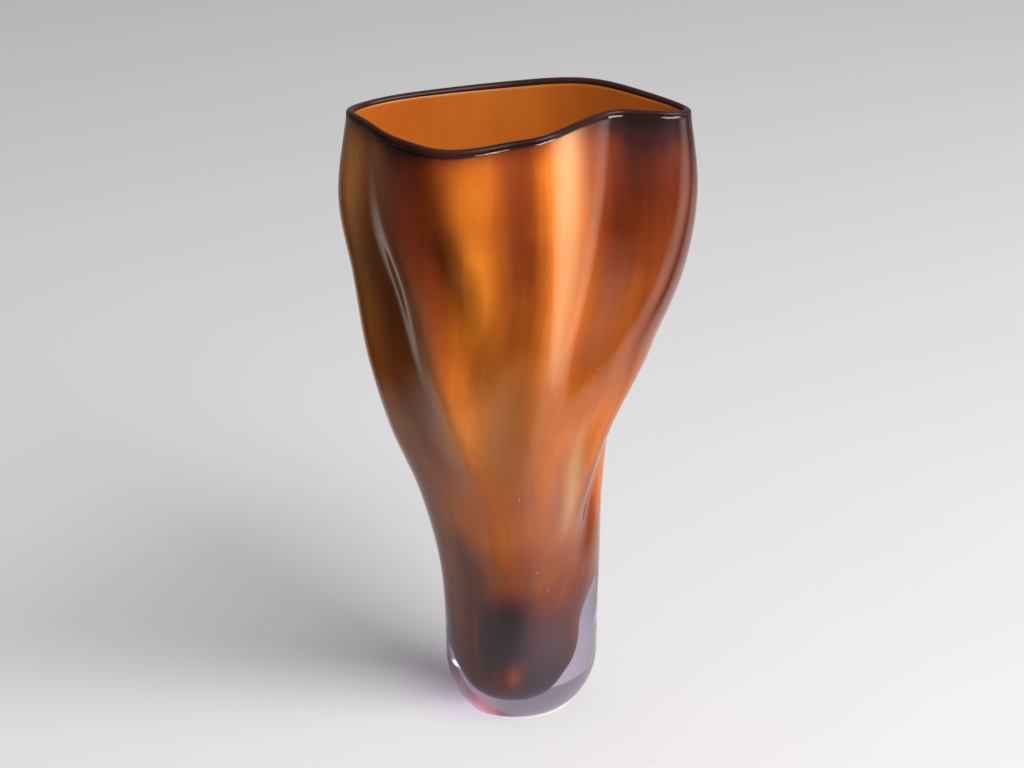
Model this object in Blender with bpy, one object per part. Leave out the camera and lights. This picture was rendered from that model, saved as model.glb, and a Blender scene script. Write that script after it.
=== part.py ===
"""Freeform hand blown vase, built in the order its maker gathers the glass.

Four closed solids follow one freeform outline. From the outside in they are a clear casing with
a heavy ground foot, a thin amethyst veil that pools under the bubble, and the amber bubble that
makes the hollow. A dark thread of glass is wrapped round the lip. Axes: +Z up, -Y is the front,
and the origin is the middle of the ground foot. Angles are counted anticlockwise from +X, seen
from above, so 270 degrees is the front.
"""
import math
from collections import namedtuple

import bmesh
import bpy
import numpy as np

MM = 0.001

# ---------------------------------------------------------------- driving dimensions
HEIGHT = 360 * MM            # foot to the level line of the finished lip
FOOT_WIDTH = 88 * MM
FOOT_DEPTH = 80 * MM
KNEE_WIDTH = 126 * MM        # half way up, where the stem opens into the bowl
KNEE_DEPTH = 94 * MM
SHOULDER_WIDTH = 190 * MM    # the widest section
SHOULDER_DEPTH = 90 * MM
MOUTH_WIDTH = 182 * MM
MOUTH_DEPTH = 80 * MM

FOOT_ROUND = 32 * MM         # height of the rounded edge above the ground flat
FOOT_CURVE = 42 * MM         # radius of that edge, which the flat cuts short

CASING_WALL = 1.7 * MM       # clear glass over the bowl and the upper stem
HEEL_WALL = 18.5 * MM        # clear glass round the bottom of the colour
HEEL_LOW = 45 * MM           # the casing has its heel wall below this height
HEEL_HIGH = 125 * MM         # and thins to its plain wall at this height
CASING_BASE = 11 * MM        # clear glass under the colour
COLOUR_LEAN = -4 * MM        # how far the bottom of the colour leans along X
VEIL_WALL = 0.5 * MM
VEIL_POOL = 7 * MM           # violet glass pooled under the bubble
BUBBLE_WALL = 1.3 * MM
BUBBLE_BASE = 4 * MM
DOME_TOP = 46 * MM           # the rounded bottoms of all layers end at this height
DOME_POWER = 2.5             # 2 makes them quarters of an ellipse, more makes them fuller
LIP_HEIGHT = 2.2 * MM
LIP_PROUD = 0.2 * MM         # how far the wrap stands out past the walls on each side
FIT_GAP = 0.3 * MM           # clearance between neighbouring gathers

# ---------------------------------------------------------------- freeform outline
# A section is an ellipse at a share of the body's height: its width and depth, the place of its
# centre, and how far it is turned, in degrees.
Section = namedtuple("Section", "share width depth x y turn")
SECTIONS = (
    Section(0.00, FOOT_WIDTH, FOOT_DEPTH, 1 * MM, -1 * MM, 28),
    Section(0.12, FOOT_WIDTH, FOOT_DEPTH, 1 * MM, -1 * MM, 28),
    Section(0.25, 92 * MM, 82 * MM, 0 * MM, -2 * MM, 24),
    Section(0.38, 104 * MM, 88 * MM, -5 * MM, -4 * MM, 15),
    Section(0.50, KNEE_WIDTH, KNEE_DEPTH, -10 * MM, -9 * MM, 8),
    Section(0.62, 154 * MM, 96 * MM, -6 * MM, -14 * MM, 3),
    Section(0.76, 178 * MM, 94 * MM, 0 * MM, -18 * MM, 0),
    Section(0.88, SHOULDER_WIDTH, SHOULDER_DEPTH, 0 * MM, -20 * MM, 0),
    Section(1.00, MOUTH_WIDTH, MOUTH_DEPTH, 1 * MM, -14 * MM, 0),
)

# A fold pushes the wall out, or in where the push is negative. It runs from one share of the
# height and one angle to another, is deepest half way, and its spread across the wall changes
# from its low end to its high end. A fold that ends above 1 is still open at the lip.
Fold = namedtuple("Fold", "name push low high angle_low angle_high spread_low spread_high")
FOLDS = (
    Fold("front right dent", -21 * MM, 0.50, 1.55, 289, 308, 12 * MM, 26 * MM),
    Fold("front left swell", 20 * MM, 0.45, 1.60, 256, 245, 34 * MM, 36 * MM),
    Fold("left side swell", 5 * MM, 0.40, 1.10, 212, 194, 10 * MM, 10 * MM),
    Fold("left ridge", 8 * MM, 0.36, 1.06, 258, 222, 8 * MM, 9 * MM),
    Fold("left valley", -5 * MM, 0.50, 1.06, 262, 235, 8 * MM, 10 * MM),
    Fold("centre ridge", 5 * MM, 0.55, 1.45, 281, 277, 12 * MM, 11 * MM),
    Fold("belly ridge", 6 * MM, 0.36, 0.80, 291, 282, 16 * MM, 12 * MM),
    Fold("right ridge", 5 * MM, 0.26, 0.66, 296, 352, 9 * MM, 14 * MM),
    Fold("right hollow", -4 * MM, 0.26, 0.52, 322, 360, 9 * MM, 10 * MM),
    Fold("back right dent", -5 * MM, 0.55, 1.50, 48, 45, 30 * MM, 30 * MM),
    Fold("back left dent", -5 * MM, 0.45, 1.50, 130, 125, 36 * MM, 36 * MM),
)
FOLD_EASE = 1.5              # how softly a fold starts and ends

# A wave lifts or drops the lip round one angle, and dies away at half height.
Wave = namedtuple("Wave", "rise angle spread")
WAVES = (
    Wave(-9 * MM, 247, 32),
    Wave(4 * MM, 66, 24),
    Wave(-3 * MM, 8, 30),
    Wave(-2 * MM, 160, 30),
)
WAVE_START = 0.5

# ---------------------------------------------------------------- mesh fineness
AROUND = 48                  # points round every ring
DOME_RINGS = 5               # rings on each rounded bottom
BODY_RINGS = 15              # rings from the top of the bottoms to the lip
FOOT_RINGS = 5               # rings on the rounded edge of the foot
LIP_POINTS = 9               # points over the lip's crown

ANGLES = np.arange(AROUND) * (2 * math.pi / AROUND)
WALL_TOP = HEIGHT - LIP_HEIGHT - FIT_GAP     # level line where the gathers are cut

# Each gather's outer and inner face, as the depth of glass over it.
VEIL_FACE = FIT_GAP
VEIL_BACK = VEIL_FACE + VEIL_WALL
BUBBLE_FACE = VEIL_BACK + FIT_GAP
BUBBLE_BACK = BUBBLE_FACE + BUBBLE_WALL
WALL_STACK = CASING_WALL + BUBBLE_BACK       # all the gathers together, at the lip

# The height at which each face closes over the middle of the foot.
VEIL_BOTTOM = CASING_BASE + FIT_GAP
VEIL_FLOOR = VEIL_BOTTOM + VEIL_POOL
BUBBLE_BOTTOM = VEIL_FLOOR + FIT_GAP
BUBBLE_FLOOR = BUBBLE_BOTTOM + BUBBLE_BASE


# ---------------------------------------------------------------- the outline as a formula
def smooth_through(column, share):
    """Value of one column of SECTIONS at a share of the height.

    A cubic between each two sections, whose slope at a section is the mean slope round it.
    """
    shares = np.array([section.share for section in SECTIONS])
    values = np.array([getattr(section, column) for section in SECTIONS])
    slopes = np.gradient(values, shares)
    share = min(max(share, shares[0]), shares[-1])
    index = min(int(np.searchsorted(shares, share, side="right")) - 1, len(shares) - 2)
    step = shares[index + 1] - shares[index]
    x = (share - shares[index]) / step
    start = (2 * x**3 - 3 * x**2 + 1) * values[index] + (x**3 - 2 * x**2 + x) * step * slopes[index]
    end = (3 * x**2 - 2 * x**3) * values[index + 1] + (x**3 - x**2) * step * slopes[index + 1]
    return start + end


def turn_between(angles, middle):
    """Angles measured from a middle one, from minus half a turn to half a turn."""
    return (angles - middle + math.pi) % (2 * math.pi) - math.pi


def fold_push(share, angles, local, half_width, half_depth):
    """How far the folds move each point of a section outwards.

    Each fold adds its push times a bell over the height times a bell across the wall, whose
    distance is the angle from the fold's crest times the section's local radius.
    """
    stretch = np.hypot(half_width * np.sin(local), half_depth * np.cos(local))
    radius = (stretch + (half_width + half_depth) / 2) / 2
    push = np.zeros_like(angles)
    for fold in FOLDS:
        rise = (share - fold.low) / (fold.high - fold.low)
        if not 0 < rise < 1:
            continue
        along = min((share - fold.low) / (min(fold.high, 1) - fold.low), 1)
        crest = math.radians(fold.angle_low + (fold.angle_high - fold.angle_low) * along)
        spread = fold.spread_low + (fold.spread_high - fold.spread_low) * along
        across = turn_between(angles, crest) * radius / spread
        push += fold.push * math.sin(math.pi * rise) ** FOLD_EASE * np.exp(-across**2)
    return push


def section_points(level, angles, inset=0.0):
    """Points of the outline at a level, as an array of x and y.

    An ellipse, drawn in by the inset on all sides, turned and moved to its centre, with every
    fold pushing along the ellipse's own normal.
    """
    share = level / WALL_TOP
    half_width = smooth_through("width", share) / 2 - inset
    half_depth = smooth_through("depth", share) / 2 - inset
    turn = math.radians(smooth_through("turn", share))
    local = angles - turn
    normal = np.stack([half_depth * np.cos(local), half_width * np.sin(local)])
    normal /= np.hypot(*normal)
    push = fold_push(share, angles, local, half_width, half_depth)
    flat = np.stack([half_width * np.cos(local), half_depth * np.sin(local)]) + push * normal
    x = smooth_through("x", share) + flat[0] * math.cos(turn) - flat[1] * math.sin(turn)
    y = smooth_through("y", share) + flat[0] * math.sin(turn) + flat[1] * math.cos(turn)
    return np.stack([x, y], axis=1)


def lip_wave(level, angles):
    """How far the waves of the lip lift each point at a level."""
    fade = max((level / WALL_TOP - WAVE_START) / (1 - WAVE_START), 0) ** 2
    lift = np.zeros_like(angles)
    for wave in WAVES:
        away = turn_between(angles, math.radians(wave.angle)) / math.radians(wave.spread)
        lift += wave.rise * np.exp(-away**2)
    return lift * fade


def normals_in(level):
    """Unit vectors that point into the glass, square to the section at each of its points."""
    small = 0.002
    along = section_points(level, ANGLES + small) - section_points(level, ANGLES - small)
    inwards = np.stack([-along[:, 1], along[:, 0]], axis=1)
    return inwards / np.linalg.norm(inwards, axis=1, keepdims=True)


def heel_share(level):
    """1 at the heel and below, easing to 0 where the casing has its plain wall."""
    x = min(max((HEEL_HIGH - level) / (HEEL_HIGH - HEEL_LOW), 0), 1)
    return x * x * (3 - 2 * x)


# ---------------------------------------------------------------- rings of glass
def outer_ring(level):
    """Ring of the vase's outer face, which rounds in under FOOT_ROUND to the ground flat."""
    inset = FOOT_CURVE - math.sqrt(FOOT_CURVE**2 - max(FOOT_ROUND - level, 0) ** 2)
    points = section_points(level, ANGLES, inset)
    return np.column_stack([points, level + lip_wave(level, ANGLES)])


def inner_ring(level, depth, narrowing=1.0):
    """Ring of a face that lies a depth of coloured glass inside the casing.

    The narrowing draws the ring in towards its middle, for the rounded bottoms.
    """
    heel = heel_share(level)
    casing = CASING_WALL + (HEEL_WALL - CASING_WALL) * heel
    points = section_points(level, ANGLES) + normals_in(level) * (casing + depth)
    points[:, 0] += COLOUR_LEAN * heel
    middle = points.mean(axis=0)
    points = middle + (points - middle) * narrowing
    return np.column_stack([points, level + lip_wave(level, ANGLES)])


def body_levels():
    """Levels of the rings from the top of the rounded bottoms to the cut rim."""
    return np.linspace(DOME_TOP, WALL_TOP, BODY_RINGS)


def outer_face():
    """Rings of the outer face, foot to rim."""
    turns = np.linspace(0, math.pi / 2, FOOT_RINGS + 1)[:-1]
    foot = [FOOT_ROUND * (1 - math.cos(turn)) for turn in turns]
    return [outer_ring(level) for level in [*foot, FOOT_ROUND, *body_levels()]]


def inner_face(bottom, depth):
    """Middle of the rounded bottom, then the rings of a face, bottom to rim.

    The bottom is a quarter of a superellipse from the pole up to DOME_TOP.
    """
    rings = []
    for turn in np.linspace(0, math.pi / 2, DOME_RINGS + 2)[1:-1]:
        level = DOME_TOP - (DOME_TOP - bottom) * math.cos(turn) ** (2 / DOME_POWER)
        rings.append(inner_ring(level, depth, math.sin(turn) ** (2 / DOME_POWER)))
    rings += [inner_ring(level, depth) for level in body_levels()]
    pole = np.append(rings[0][:, :2].mean(axis=0), bottom)
    return pole, rings


# ---------------------------------------------------------------- building the solids
def make_material(name, colour, roughness, transmission, ior=1.5):
    material = bpy.data.materials.new(name)
    material.use_nodes = True
    shader = material.node_tree.nodes["Principled BSDF"]
    shader.inputs["Base Color"].default_value = (*colour, 1)
    shader.inputs["Roughness"].default_value = roughness
    shader.inputs["Metallic"].default_value = 0
    shader.inputs["Transmission Weight"].default_value = transmission
    shader.inputs["IOR"].default_value = ior
    material.diffuse_color = (*colour, 1)
    return material


def add_ring(mesh, ring):
    return [mesh.verts.new(point) for point in ring]


def bridge(mesh, lower, upper):
    """Faces between two rings, facing out where the upper ring is further along the surface."""
    count = len(lower)
    for index in range(count):
        after = (index + 1) % count
        mesh.faces.new((lower[index], lower[after], upper[after], upper[index]))


def fan(mesh, ring, pole, facing_down):
    """Triangles from a ring to a pole."""
    count = len(ring)
    for index in range(count):
        after = (index + 1) % count
        edge = (ring[after], ring[index]) if facing_down else (ring[index], ring[after])
        mesh.faces.new((*edge, pole))


def finish_object(name, mesh, material, collection):
    """Turn a bmesh into a named, smooth shaded object whose origin is the foot's middle."""
    bmesh.ops.triangulate(mesh, faces=mesh.faces[:])
    data = bpy.data.meshes.new(name)
    mesh.to_mesh(data)
    mesh.free()
    data.materials.append(material)
    data.shade_smooth()
    data.set_sharp_from_angle(angle=math.radians(50))
    vase_part = bpy.data.objects.new(name, data)
    collection.objects.link(vase_part)
    return vase_part


def make_gather(name, outer_pole, outer_rings, inner_pole, inner_rings, material, collection):
    """One gather of glass: up its outer face, over the rim, and down its inner face."""
    mesh = bmesh.new()
    outer = [add_ring(mesh, ring) for ring in outer_rings]
    inner = [add_ring(mesh, ring) for ring in inner_rings]
    run = outer + inner[::-1]
    fan(mesh, outer[0], mesh.verts.new(outer_pole), True)
    for lower, upper in zip(run, run[1:]):
        bridge(mesh, lower, upper)
    fan(mesh, inner[0], mesh.verts.new(inner_pole), False)
    return finish_object(name, mesh, material, collection)


def make_clear_casing(collection):
    """Clear outer gather: the ground foot is flat, and its hollow takes the colour."""
    material = make_material("clear_lilac_glass", (0.90, 0.86, 0.92), 0.03, 1.0)
    outer = outer_face()
    foot_middle = np.append(outer[0][:, :2].mean(axis=0), 0.0)
    pole, inner = inner_face(CASING_BASE, 0.0)
    return make_gather("clear_casing", foot_middle, outer, pole, inner, material, collection)


def make_amethyst_veil(collection):
    """Thin violet overlay between casing and bubble, with its pool at the bottom."""
    material = make_material("amethyst_glass", (0.16, 0.05, 0.09), 0.08, 0.6)
    outer_pole, outer = inner_face(VEIL_BOTTOM, VEIL_FACE)
    pole, inner = inner_face(VEIL_FLOOR, VEIL_BACK)
    return make_gather("amethyst_veil", outer_pole, outer, pole, inner, material, collection)


def make_amber_bubble(collection):
    """Innermost gather, blown out to the hollow that holds the water and stems."""
    material = make_material("amber_glass", (0.62, 0.24, 0.05), 0.08, 0.6)
    outer_pole, outer = inner_face(BUBBLE_BOTTOM, BUBBLE_FACE)
    pole, inner = inner_face(BUBBLE_FLOOR, BUBBLE_BACK)
    return make_gather("amber_bubble", outer_pole, outer, pole, inner, material, collection)


def make_lip_wrap(collection):
    """Dark thread laid on the cut rim: a flat underside and a rounded crown.

    The crown is half an ellipse across the wall, carried round the lip.
    """
    material = make_material("aubergine_glass", (0.06, 0.02, 0.03), 0.06, 0.0)
    rim = outer_ring(WALL_TOP)
    inwards = np.column_stack([normals_in(WALL_TOP), np.zeros(AROUND)])
    up = np.array([0, 0, 1])
    middle = rim + inwards * (WALL_STACK / 2) + up * FIT_GAP
    reach = WALL_STACK / 2 + LIP_PROUD
    mesh = bmesh.new()
    rings = []
    for turn in np.linspace(0, math.pi, LIP_POINTS):
        ring = middle - inwards * (reach * math.cos(turn)) + up * (LIP_HEIGHT * math.sin(turn))
        rings.append(add_ring(mesh, ring))
    for lower, upper in zip(rings, rings[1:]):
        bridge(mesh, lower, upper)
    bridge(mesh, rings[-1], rings[0])
    return finish_object("lip_wrap", mesh, material, collection)


def main():
    for old in list(bpy.data.objects):
        bpy.data.objects.remove(old, do_unlink=True)
    collection = bpy.data.collections.new("freeform_vase")
    bpy.context.scene.collection.children.link(collection)
    make_clear_casing(collection)
    make_amethyst_veil(collection)
    make_amber_bubble(collection)
    make_lip_wrap(collection)


main()
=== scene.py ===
"""Freeform cased glass vase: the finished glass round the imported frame, laid out as an add-on.

Every surface is the vase's own outline, a function of an angle and a height, drawn in by the
depth of glass over it. Axes as in the frame: +Z up, -Y the front, angles anticlockwise from +X.
"""
import math

import bpy
import numpy as np
from bpy.props import FloatProperty, FloatVectorProperty, PointerProperty
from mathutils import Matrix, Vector


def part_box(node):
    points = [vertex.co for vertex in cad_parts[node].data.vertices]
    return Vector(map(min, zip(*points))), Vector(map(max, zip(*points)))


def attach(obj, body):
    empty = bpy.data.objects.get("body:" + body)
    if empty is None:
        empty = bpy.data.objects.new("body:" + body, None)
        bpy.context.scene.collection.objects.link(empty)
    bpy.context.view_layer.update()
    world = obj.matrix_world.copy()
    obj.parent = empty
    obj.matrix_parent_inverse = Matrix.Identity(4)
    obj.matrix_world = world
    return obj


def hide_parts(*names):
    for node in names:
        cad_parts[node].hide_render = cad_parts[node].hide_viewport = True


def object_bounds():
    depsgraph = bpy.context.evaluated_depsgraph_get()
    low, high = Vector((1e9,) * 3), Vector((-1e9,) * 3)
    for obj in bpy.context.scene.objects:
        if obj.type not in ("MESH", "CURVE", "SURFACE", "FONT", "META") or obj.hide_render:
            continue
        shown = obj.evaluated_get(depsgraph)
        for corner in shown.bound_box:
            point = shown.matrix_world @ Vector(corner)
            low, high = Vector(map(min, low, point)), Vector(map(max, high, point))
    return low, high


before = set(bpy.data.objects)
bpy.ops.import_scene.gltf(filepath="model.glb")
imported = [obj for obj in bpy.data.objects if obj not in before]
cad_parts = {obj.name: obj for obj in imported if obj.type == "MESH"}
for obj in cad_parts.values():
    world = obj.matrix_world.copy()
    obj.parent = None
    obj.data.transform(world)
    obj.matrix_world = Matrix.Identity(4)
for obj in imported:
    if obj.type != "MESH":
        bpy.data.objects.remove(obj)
CAD_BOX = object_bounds()

bl_info = {
    "name": "Freeform Cased Vase",
    "version": (1, 0, 0),
    "blender": (4, 5, 0),
    "location": "View3D > Sidebar > Vase",
    "description": "Builds a freeform vase of amber glass cased in violet and clear glass",
    "category": "Add Mesh",
}

MM = 0.001
BODY = "root"

# ---------------------------------------------------------------- heights read from the frame
CASING_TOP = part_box("clear_casing")[1].z
VEIL_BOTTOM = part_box("amethyst_veil")[0].z
BUBBLE_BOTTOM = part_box("amber_bubble")[0].z
LIP_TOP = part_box("lip_wrap")[1].z - CASING_TOP     # the wrap's crown over the wall
CAD_AROUND = 48                                    # points round the frame's rings

# ---------------------------------------------------------------- the outline
# Share of the height, width, depth, centre x and y, and turn in degrees.
SECTIONS = np.array([
    (0.00, 88, 80, 1, -1, 28),
    (0.12, 88, 80, 1, -1, 28),
    (0.25, 92, 82, 0, -2, 24),
    (0.38, 104, 88, -5, -4, 15),
    (0.50, 126, 94, -10, -9, 8),
    (0.62, 154, 96, -6, -14, 3),
    (0.76, 178, 94, 0, -18, 0),
    (0.88, 190, 90, 0, -20, 0),
    (1.00, 182, 80, 1, -14, 0),
], dtype=float)
SECTIONS[:, 1:5] *= MM

# Push in mm, lowest and highest share, crest's angle at each end, spread in mm at each end.
FOLDS = (
    (-21, 0.50, 1.55, 289, 308, 12, 26),   # front right dent
    (20, 0.45, 1.60, 256, 245, 34, 36),    # front left swell
    (5, 0.40, 1.10, 212, 194, 10, 10),     # left side swell
    (8, 0.36, 1.06, 258, 222, 8, 9),       # left ridge
    (-5, 0.50, 1.06, 262, 235, 8, 10),     # left valley
    (5, 0.55, 1.45, 281, 277, 12, 11),     # centre ridge
    (6, 0.36, 0.80, 291, 282, 16, 12),     # belly ridge
    (5, 0.26, 0.66, 296, 352, 9, 14),      # right ridge
    (-4, 0.26, 0.52, 322, 360, 9, 10),     # right hollow
    (-5, 0.55, 1.50, 48, 45, 30, 30),      # back right dent
    (-5, 0.45, 1.50, 130, 125, 36, 36),    # back left dent
)
FOLD_EASE = 1.5

# Rise in mm, angle and spread of each wave of the lip.
WAVES = ((-9, 247, 32), (4, 66, 24), (-3, 8, 30), (-2, 160, 30))
WAVE_START = 0.5


def turn_between(angles, middle):
    """Angles measured from a middle one, from minus half a turn to half a turn."""
    return (angles - middle + math.pi) % (2 * math.pi) - math.pi


def round_bell(angles, middle, spread):
    """A bell round one angle: both in degrees, 1 at its middle and falling with the square of
    the turn away from it over its spread."""
    return np.exp(-(turn_between(angles, math.radians(middle)) / math.radians(spread)) ** 2)


def waves_at(angles):
    """Rise of the lip over its level line: the sum of a bell round each wave's angle."""
    return sum(rise * MM * round_bell(angles, angle, spread) for rise, angle, spread in WAVES)


# The level line where the walls end: the highest wave of the frame's rings lies over it.
WALL_TOP = CASING_TOP - waves_at(np.arange(CAD_AROUND) * (2 * math.pi / CAD_AROUND)).max()

# ---------------------------------------------------------------- depths of glass
FOOT_ROUND = 32 * MM
FOOT_CURVE = 42 * MM
CASING_WALL = 1.7 * MM
HEEL_WALL = 18.5 * MM
HEEL_LOW, HEEL_HIGH = 45 * MM, 125 * MM
COLOUR_LEAN = -4 * MM
VEIL_WALL = 0.8 * MM                       # veil with its share of the fused seams
BUBBLE_WALL = 1.6 * MM
FUSE = 0.25 * MM                           # how far fused layers reach into each other
DOME_TOP = 46 * MM
DOME_POWER = 2.5
HOLLOW_BASE = 4 * MM                       # amber glass under the hollow
GROUND_HEIGHT = 0.5 * MM                   # the underside is ground up to here
SEED_SINK = 0.15 * MM                      # how far a seed's middle stands off the colour
WALL_STACK = CASING_WALL + VEIL_WALL + BUBBLE_WALL

# ---------------------------------------------------------------- fineness of the surfaces
AROUND = 200
DOME_RINGS = 24
BODY_RINGS = 150
FOOT_RINGS = 24
LIP_AROUND = 400
LIP_SIDES = 28
FLOW_RADIUS = 0.05
ANGLES = np.arange(AROUND) * (2 * math.pi / AROUND)


# ---------------------------------------------------------------- fields over angle and share
def smooth_columns(share):
    """Width, depth, x, y and turn at each share: a cubic between each two sections, whose slope
    at a section is the mean slope round it."""
    shares = SECTIONS[:, 0]
    slopes = np.gradient(SECTIONS, shares, axis=0)
    share = np.clip(share, shares[0], shares[-1])
    index = np.clip(np.searchsorted(shares, share, side="right") - 1, 0, len(shares) - 2)
    step = (shares[index + 1] - shares[index])[..., None]
    x = (share - shares[index])[..., None] / step
    low, high = SECTIONS[index], SECTIONS[index + 1]
    start = (2 * x**3 - 3 * x**2 + 1) * low + (x**3 - 2 * x**2 + x) * step * slopes[index]
    end = (3 * x**2 - 2 * x**3) * high + (x**3 - x**2) * step * slopes[index + 1]
    return np.moveaxis(start + end, -1, 0)[1:]


def bells(rows, share, angles, radius):
    """Sum of fields that each run from a low to a high share along a crest: an amount, times a
    bell over the height, times a bell across the crest at the local radius in metres."""
    total = np.zeros(np.broadcast(share, angles).shape)
    for amount, low, high, angle_low, angle_high, spread_low, spread_high in rows:
        rise = np.clip((share - low) / (high - low), 0, 1)
        along = np.clip((share - low) / (min(high, 1) - low), 0, 1)
        crest = np.radians(angle_low + (angle_high - angle_low) * along)
        spread = (spread_low + (spread_high - spread_low) * along) * MM
        across = turn_between(angles, crest) * radius / spread
        total += amount * np.sin(math.pi * rise) ** FOLD_EASE * np.exp(-across**2)
    return total


def local_radius(share, angles):
    """How fast a point runs round its section as its angle grows, in metres."""
    width, depth, _, _, turn = smooth_columns(share)
    local = angles - np.radians(turn)
    stretch = np.hypot(width / 2 * np.sin(local), depth / 2 * np.cos(local))
    return (stretch + (width + depth) / 4) / 2


def outline(level, angles, inset=0.0):
    """Points of the outline at each level and angle, as arrays of x and y.

    An ellipse drawn in by the inset, with the folds pushing along its normal, turned and moved
    to its centre."""
    share = level / WALL_TOP
    width, depth, x, y, turn = smooth_columns(share)
    half_width, half_depth = width / 2 - inset, depth / 2 - inset
    turn = np.radians(turn)
    local = angles - turn
    normal_x, normal_y = half_depth * np.cos(local), half_width * np.sin(local)
    length = np.hypot(normal_x, normal_y)
    push = bells(FOLDS, share, angles, local_radius(share, angles)) * MM
    flat_x = half_width * np.cos(local) + push * normal_x / length
    flat_y = half_depth * np.sin(local) + push * normal_y / length
    return (x + flat_x * np.cos(turn) - flat_y * np.sin(turn),
            y + flat_x * np.sin(turn) + flat_y * np.cos(turn))


def lip_wave(level, angles):
    """How far the waves of the lip lift each point: a bell round each wave's angle, fading as
    the square of the height over half height."""
    fade = np.clip((level / WALL_TOP - WAVE_START) / (1 - WAVE_START), 0, None) ** 2
    return waves_at(angles) * fade


def inwards(level, angles):
    """Unit vectors into the glass, square to the section's own tangent."""
    small = 0.002
    ahead, behind = outline(level, angles + small), outline(level, angles - small)
    along_x, along_y = ahead[0] - behind[0], ahead[1] - behind[1]
    length = np.hypot(along_x, along_y)
    return -along_y / length, along_x / length


def ease(value):
    """0 to 1, starting and ending level."""
    value = np.clip(value, 0, 1)
    return value * value * (3 - 2 * value)


def heel_share(level):
    """1 at the heel, easing to 0 where the casing has its plain wall."""
    return ease((HEEL_HIGH - level) / (HEEL_HIGH - HEEL_LOW))


# ---------------------------------------------------------------- faces of the gathers
def body_levels():
    return np.linspace(DOME_TOP, WALL_TOP, BODY_RINGS)


def outer_grid():
    """Outer face, foot to wall top: the outline, drawn in along an arc at the foot."""
    turns = np.linspace(0, math.pi / 2, FOOT_RINGS + 1)
    foot = FOOT_ROUND * (1 - np.cos(turns))
    between = np.linspace(FOOT_ROUND, DOME_TOP, 6)[1:-1]
    level = np.concatenate([foot, between, body_levels()])[:, None]
    inset = FOOT_CURVE - np.sqrt(FOOT_CURVE**2 - np.maximum(FOOT_ROUND - level, 0) ** 2)
    x, y = outline(level, ANGLES, inset)
    z = level + lip_wave(level, ANGLES)
    return np.stack(np.broadcast_arrays(x, y, z), axis=-1), level


def inner_grid(bottom, depth):
    """Face at a depth of coloured glass inside the casing, from its rounded bottom to the wall
    top: the outline moved in along its normal, narrowed to a quarter of a superellipse below."""
    turns = np.linspace(0, math.pi / 2, DOME_RINGS + 2)[1:-1]
    dome = DOME_TOP - (DOME_TOP - bottom) * np.cos(turns) ** (2 / DOME_POWER)
    level = np.concatenate([dome, body_levels()])[:, None]
    narrowing = np.concatenate([np.sin(turns) ** (2 / DOME_POWER), np.ones(BODY_RINGS)])[:, None]
    heel = heel_share(level)
    casing = CASING_WALL + (HEEL_WALL - CASING_WALL) * heel + depth
    x, y = outline(level, ANGLES)
    in_x, in_y = inwards(level, ANGLES)
    x = x + in_x * casing + COLOUR_LEAN * heel
    y = y + in_y * casing
    middle_x, middle_y = x.mean(axis=1, keepdims=True), y.mean(axis=1, keepdims=True)
    x = middle_x + (x - middle_x) * narrowing
    y = middle_y + (y - middle_y) * narrowing
    z = level + lip_wave(level, ANGLES)
    return np.stack(np.broadcast_arrays(x, y, z), axis=-1), level


# ---------------------------------------------------------------- meshes from grids
def grid_faces(rows, columns, wrap_rows=False):
    """Quads of a grid that closes round its columns, as indices into row after row."""
    row = np.arange(rows if wrap_rows else rows - 1)[:, None]
    column = np.arange(columns)[None, :]
    after_row, after_column = (row + 1) % rows, (column + 1) % columns
    corners = (row * columns + column, row * columns + after_column,
               after_row * columns + after_column, after_row * columns + column)
    return np.stack(np.broadcast_arrays(*corners), axis=-1).reshape(-1, 4)


def open_grid_faces(rows, columns):
    """Quads of a grid that is open on all sides."""
    index = np.arange(rows * columns).reshape(rows, columns)
    corners = (index[:-1, :-1], index[1:, :-1], index[1:, 1:], index[:-1, 1:])
    return np.stack(corners, axis=-1).reshape(-1, 4)


def fan_faces(first, columns, pole, flip):
    """Triangles between a ring and a pole."""
    ring = np.arange(columns)
    after = (ring + 1) % columns
    low, high = (after, ring) if flip else (ring, after)
    return np.stack([first + low, first + high, np.full(columns, pole)], axis=-1)


def mesh_object(name, points, quads, triangles=None):
    """A smooth shaded object at the origin, filled from whole arrays of points and faces."""
    mesh = bpy.data.meshes.new(name)
    triangles = np.zeros((0, 3), int) if triangles is None else triangles
    mesh.vertices.add(len(points))
    mesh.vertices.foreach_set("co", np.asarray(points, np.float32).ravel())
    corners = np.concatenate([quads.ravel(), triangles.ravel()])
    starts = np.concatenate([np.arange(len(quads)) * 4,
                             len(quads) * 4 + np.arange(len(triangles)) * 3])
    mesh.loops.add(len(corners))
    mesh.loops.foreach_set("vertex_index", corners.astype(np.int32))
    mesh.polygons.add(len(starts))
    mesh.polygons.foreach_set("loop_start", starts.astype(np.int32))
    mesh.update(calc_edges=True)
    mesh.validate()
    mesh.shade_smooth()
    made = bpy.data.objects.new(name, mesh)
    bpy.context.scene.collection.objects.link(made)
    return made


def gather_object(name, outer, outer_bottom, inner, inner_bottom):
    """One closed gather: up its outer face, over the rim and down its inner face."""
    points = np.concatenate([outer.reshape(-1, 3), inner[::-1].reshape(-1, 3)])
    rows = len(outer) + len(inner)
    outer_pole = np.append(outer[0, :, :2].mean(axis=0), outer_bottom)
    inner_pole = np.append(inner[0, :, :2].mean(axis=0), inner_bottom)
    points = np.concatenate([points, [outer_pole, inner_pole]])
    triangles = np.concatenate([
        fan_faces(0, AROUND, len(points) - 2, True),
        fan_faces((rows - 1) * AROUND, AROUND, len(points) - 1, False),
    ])
    return mesh_object(name, points, grid_faces(rows, AROUND), triangles)


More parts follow.
